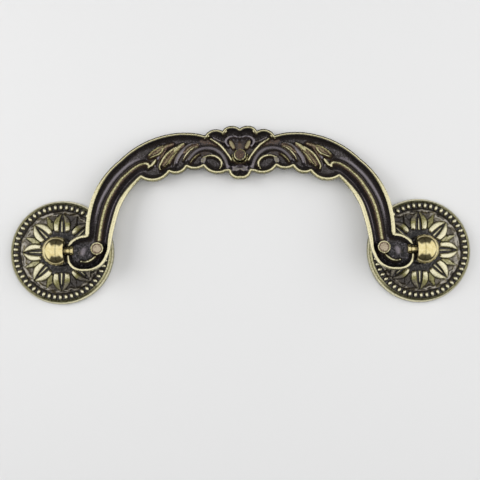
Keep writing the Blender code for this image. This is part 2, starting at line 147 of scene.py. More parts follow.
def carve(piece, tool):
    # takes the tool's space out of the piece, closes up slivers thinner than 0.002 mm and
    # deletes the tool
    cut = piece.modifiers.new("carve", "BOOLEAN")
    cut.operation, cut.solver, cut.object = "DIFFERENCE", "MANIFOLD", tool
    shown = piece.evaluated_get(bpy.context.evaluated_depsgraph_get())
    carved = bpy.data.meshes.new_from_object(shown)
    piece.modifiers.clear()
    old, piece.data = piece.data, carved
    bpy.data.meshes.remove(old)
    bpy.data.objects.remove(tool, do_unlink=True)
    shape = bmesh.new()
    shape.from_mesh(carved)
    bmesh.ops.dissolve_degenerate(shape, dist=0.002 * mm, edges=shape.edges)
    shape.to_mesh(carved)
    shape.free()
    carved.set_sharp_from_angle(angle=math.radians(40))


def turned(profile, sides):
    # a profile of (radius, height) pairs carried round the z axis
    profile = np.array(profile, float)
    angle = np.arange(sides) * math.tau / sides
    return np.stack([profile[:, :1] * np.cos(angle), profile[:, :1] * np.sin(angle),
                     np.repeat(profile[:, 1:], sides, axis=1)], -1)


def hexColour(text):    # sRGB hex to linear red, green, blue and alpha
    share = np.array([int(text[at:at + 2], 16) for at in (1, 3, 5)]) / 255
    linear = np.where(share <= 0.04045, share / 12.92, ((share + 0.055) / 1.055) ** 2.4)
    return (*linear.tolist(), 1.0)


def addNode(tree, kind, sockets=None, **settings):
    # one node with its settings; a socket takes a value or another node's output
    node = tree.nodes.new(kind)
    for key, value in settings.items():
        setattr(node, key, value)
    for key, value in (sockets or {}).items():
        if isinstance(value, bpy.types.NodeSocket):
            tree.links.new(value, node.inputs[key])
        else:
            node.inputs[key].default_value = value
    return node


def finish(piece, body, node, material):    # its finish, its body and its node
    piece.data.materials.clear()
    piece.data.materials.append(material)
    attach(piece, body)
    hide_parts(node)


# Materials

def brassColour(tree, gold, bronze, palette):
    # the plating from its black lacquer through bronze brown and beige tarnish to olive and
    # then the rubbed bright brass; bronze below 0 is a painted highlight in pale purplish grey,
    # and gold below 0 is painted shade, near black
    steps = ((gold, 0.0, -1.0, "sootAndShade"), (bronze, 0.0, -1.0, "lilacHighlight"), (bronze, 0.0, 1.0, "bronze"),
             (bronze, 1.0, 2.0, "beige"), (gold, 0.15, 0.5, "olive"), (gold, 0.5, 0.95, "brass"))
    colour = hexColour(palette["black"])
    for amount, low, high, name in steps:
        share = addNode(tree, "ShaderNodeMapRange", {0: amount, 1: low, 2: high}, clamp=True)
        mixed = addNode(tree, "ShaderNodeMix", {0: share.outputs[0], 6: colour,
                                                7: hexColour(palette[name])}, data_type="RGBA")
        colour = mixed.outputs[2]
    return colour


def makeAntiqueBrass(name, palette):
    # antique brass plate on a zinc die casting, blackened, then rubbed back on the high
    # places: black-purple gloss in the hollows, a soft broken edge, and satin bright brass
    # where the buff has touched it. The attribute "gold" says how far it is rubbed, and also
    # carries painted highlights and painted shade; "bronze" carries tarnish and painted highlights.
    material = bpy.data.materials.new(name)
    material.use_nodes = True
    tree = material.node_tree
    surface = tree.nodes["Principled BSDF"]
    place = addNode(tree, "ShaderNodeTexCoord").outputs["Object"]
    gold = addNode(tree, "ShaderNodeAttribute", attribute_name="gold").outputs["Fac"]
    bronze = addNode(tree, "ShaderNodeAttribute", attribute_name="bronze").outputs["Fac"]
    # mottling of the lacquer, about 0.7 mm across, and rubbing marks of about 0.25 mm
    mottle = addNode(tree, "ShaderNodeTexNoise", {"Vector": place, "Scale": 1 / (0.7 * mm),
                                                  "Detail": 3.0, "Roughness": 0.6})
    rub = addNode(tree, "ShaderNodeTexNoise", {"Vector": place, "Scale": 1 / (0.25 * mm),
                                               "Detail": 2.0, "Roughness": 0.5})
    both = addNode(tree, "ShaderNodeMath", {0: mottle.outputs[0], 1: rub.outputs[0]},
                   operation="ADD")
    around = addNode(tree, "ShaderNodeMath", {0: both.outputs[0], 1: -1.0}, operation="ADD")
    worn = addNode(tree, "ShaderNodeMath", {0: around.outputs[0], 1: palette["broken"],
                                            2: gold}, operation="MULTIPLY_ADD")
    # only places that are rubbed at all take the broken edge
    least = addNode(tree, "ShaderNodeMath", {0: gold, 1: 2.5}, operation="MULTIPLY")
    wear = addNode(tree, "ShaderNodeMath", {0: worn.outputs[0], 1: least.outputs[0]},
                   operation="MINIMUM")
    patch = addNode(tree, "ShaderNodeMath", {0: around.outputs[0], 1: 2.6, 2: bronze},
                    operation="MULTIPLY_ADD")
    brown = addNode(tree, "ShaderNodeMath", {0: bronze, 1: 2.5}, operation="MULTIPLY")
    stainAndSheen = addNode(tree, "ShaderNodeMath", {0: patch.outputs[0], 1: brown.outputs[0]},
                    operation="MINIMUM")
    colour = brassColour(tree, wear.outputs[0], stainAndSheen.outputs[0], palette)
    tree.links.new(colour, surface.inputs["Base Color"])
    # bare plating is a mirror, the black oxide on it is half matt
    bright = addNode(tree, "ShaderNodeRGBToBW", {0: colour})
    bare = addNode(tree, "ShaderNodeMapRange", {0: bright.outputs[0], 1: 0.02, 2: 0.14,
                                                3: 0.6, 4: 1.0}, clamp=True)
    tree.links.new(bare.outputs[0], surface.inputs["Metallic"])
    surface.inputs["Coat Weight"].default_value = palette["lacquer"]
    surface.inputs["Coat Roughness"].default_value = 0.16
    rough = addNode(tree, "ShaderNodeMapRange", {0: mottle.outputs[0], 1: 0.3, 2: 0.7,
                                                 3: palette["rough"] - 0.06,
                                                 4: palette["rough"] + 0.08})
    tree.links.new(rough.outputs[0], surface.inputs["Roughness"])
    grain = addNode(tree, "ShaderNodeBump", {"Height": both.outputs[0], "Strength": 0.25,
                                             "Distance": palette["grain"] * mm})
    tree.links.new(grain.outputs[0], surface.inputs["Normal"])
    return material


def makePolishedBrass(name, palette):
    # turned brass, buffed bright and lacquered: a clear warm mirror with faint polishing
    # haze and a little darkening, which is laid on by the attribute "gold" near the joints
    material = bpy.data.materials.new(name)
    material.use_nodes = True
    tree = material.node_tree
    surface = tree.nodes["Principled BSDF"]
    place = addNode(tree, "ShaderNodeTexCoord").outputs["Object"]
    gold = addNode(tree, "ShaderNodeAttribute", attribute_name="gold").outputs["Fac"]
    haze = addNode(tree, "ShaderNodeTexNoise", {"Vector": place, "Scale": 1 / (1.1 * mm),
                                                "Detail": 4.0, "Roughness": 0.65})
    tone = addNode(tree, "ShaderNodeMapRange", {0: haze.outputs[0], 1: 0.35, 2: 0.7})
    metal = addNode(tree, "ShaderNodeMix", {0: tone.outputs[0],
                                            6: hexColour(palette["brass"]),
                                            7: hexColour(palette["deep"])}, data_type="RGBA")
    colour = addNode(tree, "ShaderNodeMix", {0: gold, 6: hexColour(palette["black"]),
                                             7: metal.outputs[2]}, data_type="RGBA")
    tree.links.new(colour.outputs[2], surface.inputs["Base Color"])
    surface.inputs["Metallic"].default_value = 1.0
    rough = addNode(tree, "ShaderNodeMapRange", {0: haze.outputs[0], 1: 0.3, 2: 0.75,
                                                 3: palette["rough"] - 0.03,
                                                 4: palette["rough"] + 0.07})
    tree.links.new(rough.outputs[0], surface.inputs["Roughness"])
    return material


bailBrass = makeAntiqueBrass("antique_brass_plate_on_die_casting", {
    "sootAndShade": "#0e0c0b", "black": "#302b28", "lilacHighlight": "#857e83", "bronze": "#6e5748",
    "beige": "#c4b69c", "olive": "#8f8a58", "brass": "#f6edc2",
    "broken": 0.8, "rough": 0.27, "grain": 0.03, "lacquer": 0.3})    # grain in millimetres
rosetteBrass = makeAntiqueBrass("antique_brass_plate_on_backplate", {
    "sootAndShade": "#0d0b0b", "black": "#2c2725", "lilacHighlight": "#77736f", "bronze": "#6b6458",
    "beige": "#b4aea3", "olive": "#87824f", "brass": "#f9f2cf",
    "broken": 0.6, "rough": 0.29, "grain": 0.06, "lacquer": 0.3})
polishedBrass = makePolishedBrass("polished_turned_brass", {
    "brass": "#f3e6b2", "deep": "#e3cf8e", "black": "#4a4236", "rough": 0.16})
print("materials ready")


# Bail

bail = {
    "lieAngle": 9.67665,       # degrees by which it lies below the plane of the pins
    "rimAbovePin": 0.4,
    # width of the rim at distances from the pin axis: narrow at the bowl and the crest
    "rimPlaces": (-4.0, 1.0, 6.0, 22.0, 30.0),
    "rimWidths": (0.8, 0.85, 1.3, 1.3, 1.05),
    "rimFall": 0.24,          # how far the rim's outer half is rounded over
    # how bright the rim is rubbed at shares of its width: on the arms, and on the crest,
    # which takes over between two distances from the pin axis; on the crest the outer half and
    # the inner edge are painted olive dark, painted shade, and a middle line bright, a painted
    # highlight
    "armRub": ((0.8, 0.97), (0.98, 0.68)),
    "crestRubAndShade": ((0.0, 0.26, 0.4, 0.64, 0.78, 1.0), (0.3, 0.4, 1.05, 1.05, 0.32, 0.1)),
    "crestShadeStart": (17.0, 30.0),
    "hollowDepth": 2.8,
    "hollowFoot": 2.7,        # width of the hollow's round side
    "edgeThickness": 1.2,
    "frontRise": 2.4,
    "frontRound": 2.6,
    "shellRise": 0.4,
    "shellHalfWidth": 9.0,
    "grooveWidth": 0.85,      # of the front's grooves, and of their darkening, patina with painted shade
    "grooveSootAndShade": 1.25,
    "grooveDepth": 1.25,
    "ridgeBlend": 0.3,        # how softly ridges meet
    "bowlShadeEdge": (3.5, 1.5),   # distances from the pin axis between which the bowls' painted shade begins
    "lines": 70,              # across each face
    # half outlines in its own plane: x, distance from the pin axis, rise of the arc
    "outer": [(0.0, 44.75, 0.35), (3.1, 45.75, 0.55), (6.2, 43.85, 1.40), (12.5, 42.15, 0.25),
              (18.7, 43.25, 0.20), (24.9, 42.85, 1.70), (43.0, 33.0, 1.30), (52.7, 18.1, 0.45),
              (54.1, 5.9, 0.95), (60.2, 2.2, 0.15), (60.4, -2.2, 1.45), (54.8, -7.2, 0.0)],
    "inner": [(0.0, 26.0, -1.00), (4.0, 28.6, 0.0), (5.2, 28.5, -1.50), (13.0, 30.5, -0.90),
              (18.9, 30.3, -1.35), (25.1, 28.4, -2.10), (35.1, 26.4, 0.75), (42.4, 15.5, 0.15),
              (44.6, 6.1, 0.0), (45.3, 1.6, -0.15), (46.3, -1.9, -1.35), (53.0, -7.2, 0.0)],
    "rows": [14, 14, 28, 26, 26, 60, 32, 24, 26, 14, 28],
    "padRadius": 2.3,
    "padLevel": -0.35,
    "pads": [(50.0, 0.8, 1.9), (0.0, 34.9, 0.6)],    # x, distance, how brown
}

# Relief of the hollow back: points of each ridge, half width, level of its top below the
# rim, width of its foot, how far it is rubbed bright and how brown it is, the share of its
# width that is left at its two ends, and the depth of the groove that it has in the front;
# a brown below 0 is a painted highlight in pale purplish grey on the black lacquer, as on
# the channel lines, the bowls' shine, the C-scroll, the knob, the pendant, the wave, the
# flutes and the shell's grey lines
bailRelief = {
    "leafBed": ([(31.0, 33.0), (24.0, 35.0), (18.0, 36.2), (13.0, 37.0)],
                1.6, -2.0, 3.4, 0.0, 0.1, 1.0, 0.0),
    "shellBed": ([(0.0, 38.5), (3.0, 39.0)], 1.6, -1.8, 3.2, 0.0, 0.1, 1.0, 0.0),
    "shellCorner": ([(13.5, 40.6), (10.5, 40.0), (8.5, 38.8)],
                    0.7, -1.7, 1.5, 0.0, 0.35, 0.6, 0.0),
    "armRib": ([(49.4, 3.9), (49.05, 7.2), (48.7, 10.0), (48.1, 13.2), (47.4, 16.0),
                (46.5, 18.5), (45.3, 21.0), (43.9, 23.4), (42.3, 25.9), (40.4, 27.95),
                (38.4, 29.8), (36.3, 31.2), (34.4, 31.9), (33.3, 31.9)],
               0.18, -0.15, 2.3, 0.7, 0.5, 0.8, 0.9),
    # the two channel lines are painted highlights along the floors of the arms' channels
    "outerChannelHighlight": ([(36.3, 34.3), (38.6, 33.2), (41.3, 31.1), (44.7, 27.4), (47.5, 23.1),
                      (49.8, 18.2), (51.2, 13.1), (52.0, 9.1), (52.2, 6.8)],
                     0.1, -2.55, 0.75, 0.0, -0.4, 0.3, 0.0),
    "innerChannelHighlight": ([(35.1, 30.0), (37.9, 28.2), (41.2, 24.6), (43.2, 21.6), (45.1, 16.4),
                      (46.4, 11.5), (47.4, 6.0), (47.8, 3.4)],
                     0.12, -2.55, 0.8, 0.0, -0.36, 0.3, 0.0),
    "bowlShine": ([(54.9, 1.0), (55.2, 0.3), (55.3, -0.4)],
                  0.3, -2.55, 1.4, 0.0, -0.5, 0.7, 0.0),
    "bowlRib": ([(50.6, -1.95), (51.6, -2.8), (52.75, -3.5), (54.15, -3.8), (55.45, -3.65)],
                0.24, -0.45, 1.0, 0.85, 0.6, 0.6, 0.5),
    "firstLeaf": ([(32.2, 34.5), (30.6, 35.8), (28.8, 37.3), (26.6, 38.6), (24.4, 39.4)],
                  0.4, -0.9, 1.6, 0.22, 1.25, 0.5, 0.5),
    "firstUpper": ([(27.7, 38.7), (29.5, 37.9), (31.5, 36.5), (32.8, 35.1)],
                   0.2, -0.75, 0.8, 0.55, 1.4, 0.3, 0.0),
    "firstLower": ([(27.4, 37.9), (28.1, 36.5), (29.4, 35.4), (30.9, 34.7), (32.5, 34.1)],
                   0.27, -0.7, 0.7, 0.72, 1.7, 0.4, 0.0),
    "secondLeaf": ([(27.2, 31.6), (26.1, 33.6), (24.4, 35.8), (22.2, 37.9), (20.6, 39.0)],
                   0.35, -1.0, 1.8, 0.22, 1.0, 0.5, 0.5),
    "secondUpper": ([(23.0, 38.0), (24.3, 37.2), (25.8, 36.0), (27.1, 34.4), (28.1, 32.5),
                     (28.8, 30.7), (28.4, 29.7)], 0.24, -0.6, 0.75, 0.76, 1.7, 0.6, 0.4),
    "secondLower": ([(22.3, 36.6), (23.8, 35.2), (25.1, 33.3), (26.2, 31.6), (27.6, 30.2)],
                    0.14, -0.8, 0.7, 0.6, 1.2, 0.3, 0.0),
    "secondTop": ([(20.3, 39.5), (21.4, 38.8), (22.5, 37.8), (23.4, 36.7)],
                  0.55, -0.75, 0.9, 0.68, 1.8, 0.4, 0.0),
    "thirdUpper": ([(14.5, 39.2), (16.3, 39.7), (18.1, 39.3), (19.6, 38.2), (21.2, 36.6),
                    (22.5, 34.7), (23.3, 32.8), (23.6, 31.0)],
                   0.28, -1.0, 0.9, 0.14, -0.26, 0.2, 0.4),
    "thirdLeaf": ([(15.4, 38.9), (17.0, 38.5), (18.6, 37.5), (19.8, 36.2)],
                  0.25, -1.0, 1.3, 0.2, 1.2, 0.4, 0.0),
    "thirdLower": ([(15.2, 38.3), (16.5, 37.9), (17.8, 37.0), (18.9, 35.8), (19.8, 34.4),
                    (20.3, 33.1)], 0.2, -0.65, 0.6, 0.88, 1.5, 0.35, 0.0),
    "fourthLeaf": ([(14.4, 35.6), (15.6, 34.9), (16.8, 33.7), (17.7, 32.3)],
                   0.15, -0.8, 0.8, 0.5, 1.9, 0.3, 0.4),
    "cScroll": ([(18.4, 33.6), (17.2, 35.4), (15.6, 36.9), (13.5, 37.8), (11.4, 38.0),
                 (9.5, 37.7), (8.0, 37.0), (6.5, 35.7), (5.5, 34.1), (4.8, 32.2), (4.4, 30.3)],
                0.4, -0.75, 1.6, 0.0, -0.24, 0.2, 0.5),
    "scrollInside": ([(13.0, 34.3), (11.7, 34.8), (10.3, 35.0), (8.8, 34.7), (7.5, 33.9),
                      (6.7, 32.7), (6.6, 31.3), (7.3, 29.9)],
                     0.33, -0.8, 0.7, 0.86, 1.3, 0.45, 0.4),
    "scrollKnob": ([(12.9, 33.9), (13.3, 32.8)], 0.75, -0.7, 0.9, 0.3, -1.0, 0.8, 0.0),
    "shellEdge": ([(10.6, 41.1), (9.1, 40.2), (7.5, 39.1), (6.4, 38.0), (5.5, 36.9),
                   (4.5, 35.5), (3.7, 34.3), (3.1, 33.0)],
                  0.27, -0.25, 0.9, 0.9, 1.2, 0.5, 0.6),
    "shellBranch": ([(5.1, 40.0), (6.4, 40.2), (8.2, 41.1), (9.8, 41.9)],
                    0.2, -0.95, 0.9, 0.12, -0.45, 0.4, 0.0),
    "shellHeart": ([(0.0, 41.7), (2.0, 42.2), (3.8, 42.0), (4.8, 41.2), (5.1, 40.3),
                    (4.8, 39.4), (4.2, 38.5)], 0.3, -0.7, 0.9, 0.1, -0.9, 0.8, 0.4),
    "shellPad": ([(3.3, 40.2), (2.9, 39.1), (2.3, 37.9)],
                 0.6, -0.8, 0.9, 0.34, 1.9, 0.7, 0.0),
    "shellMiddle": ([(0.0, 39.8), (0.0, 37.4)], 0.3, -1.5, 0.9, 0.0, 0.5, 0.7, 0.0),
    "wave": ([(0.0, 31.1), (1.0, 31.0), (2.3, 30.7), (3.7, 30.8), (4.6, 31.4)],
             0.15, -0.8, 0.7, 0.0, -0.8, 0.6, 0.0),
    "pendant": ([(0.0, 29.9), (1.6, 29.8), (2.6, 29.5)], 0.8, -0.8, 0.8, 0.2, -1.0, 0.3, 0.0),
    "ribHook": ([(30.2, 33.3), (30.9, 32.3), (31.7, 31.3), (32.7, 30.5)],
                0.42, -0.6, 0.7, 0.85, 1.4, 0.6, 0.0),
    "ribBranch": ([(33.6, 32.0), (32.6, 31.4), (31.9, 31.0)],
                  0.35, -0.5, 0.7, 0.85, 1.2, 0.7, 0.0),
    "fluteOne": ([(21.3, 38.2), (22.9, 36.2), (24.2, 34.0), (25.3, 32.0)],
                 0.2, -1.2, 0.8, 0.3, 1.1, 0.3, 0.0),
    "fluteTwo": ([(18.9, 37.7), (20.6, 36.3), (22.0, 34.2), (22.7, 32.2)],
                 0.2, -1.3, 0.8, 0.0, -0.5, 0.3, 0.0),
    "fluteThree": ([(16.0, 37.5), (17.5, 36.3), (18.7, 34.6), (19.4, 33.0)],
                   0.2, -1.3, 0.8, 0.1, -0.4, 0.3, 0.0),
    "fluteFour": ([(28.2, 36.2), (29.5, 34.3), (30.3, 32.6), (30.4, 31.2)],
                  0.2, -1.5, 0.9, 0.0, -0.5, 0.3, 0.0),
    "fluteFive": ([(26.4, 37.6), (27.6, 35.8), (28.8, 33.6)],
                  0.2, -1.3, 0.8, 0.15, 0.9, 0.3, 0.0),
    "padRing": ([(2.75, 35.4), (2.5, 33.6), (1.5, 32.3), (0.0, 31.95)],
                0.17, -0.4, 0.6, 0.72, 1.5, 0.4, 0.0),
    "notchOne": ([(4.6, 43.9), (5.4, 43.4), (6.2, 42.7)], 0.3, -0.05, 0.4, 1.15, 0.5, 0.4, 0.0),
    "notchTwo": ([(10.9, 42.2), (11.8, 41.7), (12.6, 41.0)], 0.3, -0.05, 0.4, 1.15, 0.5, 0.4,
                 0.0),
}


def bailOutline(outline, rows):    # arcs from point to point: each one apart, and all as one
    stretches = [arcPoints(here[:2], there[:2], here[2], steps)
                 for here, there, steps in zip(outline, outline[1:], rows)]
    return [np.vstack([line, there[:2]]) for line, there in zip(stretches, outline[1:])], \
        np.concatenate(stretches + [np.array([outline[-1][:2]])])


def linesAcross(width, rim, count):
    # shares of the width for the lines of a row: close together near both edges, where the
    # rim and the hollow's side are, and even between
    near = np.array([0.0, 0.08, 0.2, 0.33, 0.47, 0.62, 0.8, 0.93, 1.0, 1.06, 1.16, 1.32, 1.55,
                     1.85]) * rim[:, None]
    near *= np.minimum(1.0, width[:, None] / (4.6 * rim[:, None]))
    even = np.linspace(0, 1, count - 2 * near.shape[1] + 2)[None, 1:-1]
    first = near[:, -1:]
    middle = first + (width[:, None] - 2 * first) * even
    return np.hstack([near, middle, width[:, None] - near[:, ::-1]]) / width[:, None]


def bailFaces(places, edgeGap, rim):
    # back: a rim rounded over on its outer half, then an elliptical hollow, with every ridge
    # of the relief raised out of it; front: an elliptical swell that takes a groove over
    # each ridge
    floor = -bail["hollowDepth"]
    back = floor * ellipse((edgeGap - rim) / bail["hollowFoot"])
    hollow = edgeGap > rim
    back = np.where(hollow, back, 0.0)
    share = edgeGap / rim
    crest = smoothStep(*bail["crestShadeStart"], places[..., 1])
    plain = np.interp(share, *bail["armRub"])
    rimRubAndShade = plain + crest * (np.interp(share, *bail["crestRubAndShade"]) - plain)
    bronze = np.zeros_like(edgeGap)
    gold = np.zeros_like(edgeGap)
    lift = np.zeros_like(edgeGap)
    inside = np.clip(edgeGap / bail["frontRound"], 0, 1)
    front = -bail["edgeThickness"] - bail["frontRise"] * ellipse(inside)
    front -= bail["shellRise"] * inside * np.exp(-(places[..., 0] / bail["shellHalfWidth"]) ** 2)
    frontGold = 0.3 + 0.58 * inside + 0.06 * np.sin(0.7 * places[..., 0] + 1.0) \
        * np.sin(0.9 * places[..., 1])
    for points, half, top, foot, rubbed, brown, ends, groove in bailRelief.values():
        gap, along = nearestOn(smoothLine(points), places)
        half = half * (ends + (1 - ends) * np.sin(math.pi * along))
        share = np.clip((gap - half) / foot, 0, 1)
        bump = (1 - share ** 2) ** 2
        ridge = floor + (top - floor) * bump
        ridge -= 0.12 * np.clip(gap / half, 0, 1) ** 2
        back = np.where(hollow & (share < 1), softMax(back, ridge, bail["ridgeBlend"]),
                        back)
        worn = 1 - smoothStep(half * 0.7, half + min(0.4 * foot, 0.5), gap)
        stainAndSheen = brown * (1 - smoothStep(0.3 * half, half + 0.7 * foot, gap))
        gold = np.maximum(gold, rubbed * worn)
        bronze = np.where(np.abs(stainAndSheen) > np.abs(bronze), stainAndSheen, bronze)
        lift = np.maximum(lift, bump * (brown > 0) * (top - floor) / -floor)
        if groove:
            dip = np.exp(-(gap / bail["grooveWidth"]) ** 2)
            front += inside * bail["grooveDepth"] * groove * dip
            # patina with painted shade: the front is painted darker along each groove
            sootAndShade = np.exp(-(gap / bail["grooveSootAndShade"]) ** 2)
            frontGold = np.minimum(frontGold, 0.95 - 1.05 * sootAndShade)
    bowlShadeMask = smoothStep(*bail["bowlShadeEdge"], places[..., 1]) * hollow    # painted shade: the bowls are painted near black outside their lines and highlight
    gold = np.where(hollow, gold, rimRubAndShade) - 1.3 * bowlShadeMask * (np.abs(bronze) + gold < 0.05)
    raised = 0.5 * smoothStep(0.4, 0.9, lift)
    bronze = np.where(hollow, np.where(raised > np.abs(bronze), raised, bronze), 0.0)
    share = np.clip(edgeGap / rim, 0, 1)
    back -= bail["rimFall"] * np.clip(1 - share / 0.5, 0, 1) ** 2 \
        + 0.12 * np.clip((share - 0.75) / 0.25, 0, 1) ** 2
    # flat round marks of the ejector pins, each with a thin bright edge; on the pad in the
    # shell the edge is painted darker on its upper half, painted shade, and bright below, a painted
    # highlight
    for x, distance, brown in bail["pads"]:
        gap = np.hypot(places[..., 0] - x, places[..., 1] - distance)
        radius = bail["padRadius"]
        edge = np.exp(-((gap - radius + 0.25) / 0.2) ** 2)
        ring = np.exp(-((gap - radius + 0.7) / 0.2) ** 2)
        on = (gap < radius) & (edgeGap > rim * 0.6)
        back = np.where(on, bail["padLevel"] + 0.1 * edge, back)
        litLowerHalf = 1 - 0.5 * smoothStep(-0.6, 0.9, places[..., 1] - distance) * (x == 0)
        gold = np.where(on, 1.1 * edge * litLowerHalf, gold)
        bronze = np.where(on, brown * (1 - 0.7 * ring), bronze)
    return back, front, gold, bronze, np.clip(frontGold, 0, 1)


def makeBail():
    # straight lines from the outer outline to the inner one, row by row; the back face and
    # the front face over them make one ring, which is mirrored for the other arm and then
    # turned about the pin axis to the bail's lie
    outerParts, outer = bailOutline(bail["outer"], bail["rows"])
    innerParts, inner = bailOutline(bail["inner"], bail["rows"])
    width = np.linalg.norm(inner - outer, axis=1)
    rim = np.interp(outer[:, 1], bail["rimPlaces"], bail["rimWidths"])
    share = linesAcross(width, rim, bail["lines"])
    places = outer[:, None] + share[..., None] * (inner - outer)[:, None]
    edges = outerParts + innerParts + [np.stack([outer[-1], inner[-1]])]
    edgeGap = np.minimum.reduce([nearestOn(part, places)[0] for part in edges])
    edgeGap[:, 0] = edgeGap[:, -1] = 0
    back, front, gold, bronze, frontGold = bailFaces(places, edgeGap, rim[:, None])
    front = np.minimum(front, back - 0.6)
    sides = []
    for level in (back, front):
        sides.append(np.concatenate([places, level[..., None] + bail["rimAbovePin"]], -1))
    end = (sides[0][-1:] + sides[1][-1:]) / 2    # the scroll's end closes on its middle line
    back, front = (np.concatenate([side, end]) for side in sides)
    ring = np.concatenate([back, front[:, ::-1]], axis=1)
    last = [np.concatenate([value, value[-1:]]) for value in (gold, frontGold, bronze)]
    goldRing = np.concatenate([last[0], last[1][:, ::-1]], axis=1)
    bronzeRing = np.concatenate([last[2], 0.15 + 0 * last[2]], axis=1)
    other = ring[:0:-1] * np.array([-1.0, 1.0, 1.0])
    ring = np.concatenate([other, ring])
    goldRing = np.concatenate([goldRing[:0:-1], goldRing])
    bronzeRing = np.concatenate([bronzeRing[:0:-1], bronzeRing])
    tilt = math.radians(bail["lieAngle"])
    along, over = ring[..., 1], ring[..., 2]
    world = np.stack([ring[..., 0], pivot[1] + along * math.cos(tilt) + over * math.sin(tilt),
                      pivot[2] - along * math.sin(tilt) + over * math.cos(tilt)], -1)
    return surfaceMesh("castBail", world, {"gold": goldRing, "bronze": bronzeRing}, ring=False)


# Posts and pins

post = {
    "ballRadius": 5.0,
    "flat": 3.05,             # from the ball's centre to its flat
    "neckRadius": 2.3,
    "footRadius": 3.6,
    "footSeat": 2.9,
    "footHeight": 0.9,
    "shankRadius": 2.5,
    "shankEnd": 0.4,
    "threadRadius": 1.65,
    "threadPitch": 0.7,
    "threadDepth": 0.3,
    "threadTop": 7.5,
    "sides": 96,
}
pin = {
    "radius": 1.3,
    "headRadius": 1.6,
    "headLength": 1.1,
    "shoulder": 59.15,        # of the head, from the middle of the pull
    "tail": 64.85,
    "seatGap": 0.35,
    "sides": 64,
}


def alongX(shape, side, place):
    # a turned shape's z axis laid along x, pointing away from the pull's middle
    return np.stack([side * (place + shape[..., 2]), pivot[1] + shape[..., 0],
                     pivot[2] + shape[..., 1]], -1)


def pinTool(side, radius, headRadius, start, end):    # a plain round bar with a wider head
    bar = [(0.0, end), (radius, end), (radius, radius - pin["radius"]),
           (headRadius, radius - pin["radius"]), (headRadius, start), (0.0, start)]
    return surfaceMesh("pinTool", alongX(turned(bar, 48), side, pin["shoulder"]), ring=False)


def flatTool(side):    # what is milled off the ball: a wide disc with a sloping edge
    flat, ball = pinReach - post["flat"], post["ballRadius"]
    edge = math.sqrt(ball ** 2 - post["flat"] ** 2)
    disc = [(0.0, flat - 3.0), (ball + 1.5, flat - 3.0), (ball + 1.5, flat + 0.2),
            (edge + 0.25, flat + 0.2), (edge - 0.13, flat), (0.0, flat)]
    return surfaceMesh("flatTool", alongX(turned(disc, 96), side, 0.0), ring=False)


def makePost(name, side):
    # a profile round the z axis; the thread's groove winds once round for each pitch
    centre = pivot[2]
    neckTurn = math.pi - math.asin(post["neckRadius"] / post["ballRadius"])
    turn = np.linspace(0, neckTurn, 60)
    ball = [(post["ballRadius"] * math.sin(t), centre + post["ballRadius"] * math.cos(t))
            for t in turn]
    footTop = post["footSeat"] + post["footHeight"]
    neck = [(post["neckRadius"], footTop + 0.9), (post["neckRadius"] + 0.15, footTop + 0.5),
            (post["neckRadius"] + 0.5, footTop + 0.15), (post["footRadius"] - 0.3, footTop),
            (post["footRadius"] - 0.08, footTop - 0.1), (post["footRadius"], footTop - 0.3),
            (post["footRadius"], post["footSeat"])]
    shank = [(post["shankRadius"], post["footSeat"]), (post["shankRadius"], post["shankEnd"] + 0.2),
             (post["shankRadius"] - 0.2, post["shankEnd"]),
             (post["threadRadius"] + 0.35, post["shankEnd"])]
    bore = np.linspace(post["shankEnd"] + 0.35, post["threadTop"], 60)
    thread = [(post["threadRadius"], height) for height in bore]
    shape = turned(ball + neck + shank + thread + [(0.0, post["threadTop"] + 0.6)], post["sides"])
    angle = np.arange(post["sides"]) / post["sides"]
    first = len(ball + neck + shank)
    wind = (bore[:, None] / post["threadPitch"] - angle) % 1
    groove = 1 + post["threadDepth"] / post["threadRadius"] * (1 - np.abs(2 * wind - 1))
    shape[first:first + len(bore), :, :2] *= groove[..., None]
    gold = np.where(np.arange(len(shape)) < len(ball) + 3, 1.0, 0.35)[:, None]
    gold = gold * smoothStep(footTop + 0.2, centre - 3.8, shape[..., 2]) ** 0.5
    shape[..., 0] += side * pinReach
    shape[..., 1] += pivot[1]
    return surfaceMesh(name, shape, {"gold": gold}, ring=False, sharpAngle=35)


def makePin(name, side):
    # a profile round the pin's axis: a low domed head, a groove and the shank
    head, shank, length = pin["headRadius"], pin["radius"], pin["headLength"]
    arc = np.linspace(0, math.pi / 2, 8)
    dome = [(head - 0.35 + 0.35 * math.sin(t), -length + 0.35 - 0.35 * math.cos(t)) for t in arc]
    profile = [(0.0, -length - 0.02), (0.9, -length - 0.02)] + dome + [
        (head, -0.15), (head - 0.12, 0.0), (shank - 0.12, 0.02), (shank - 0.12, 0.2),
        (shank, 0.3), (shank, 0.95), (shank - 0.12, 1.05), (shank - 0.12, 1.25),
        (shank, 1.35), (shank, pin["tail"] - pin["shoulder"] - 0.3),
        (shank - 0.3, pin["tail"] - pin["shoulder"]), (0.0, pin["tail"] - pin["shoulder"])]
    shape = alongX(turned(profile, pin["sides"]), side, pin["shoulder"])
    return surfaceMesh(name, shape, {"gold": np.ones(shape.shape[:2])}, ring=False)


# Rosettes

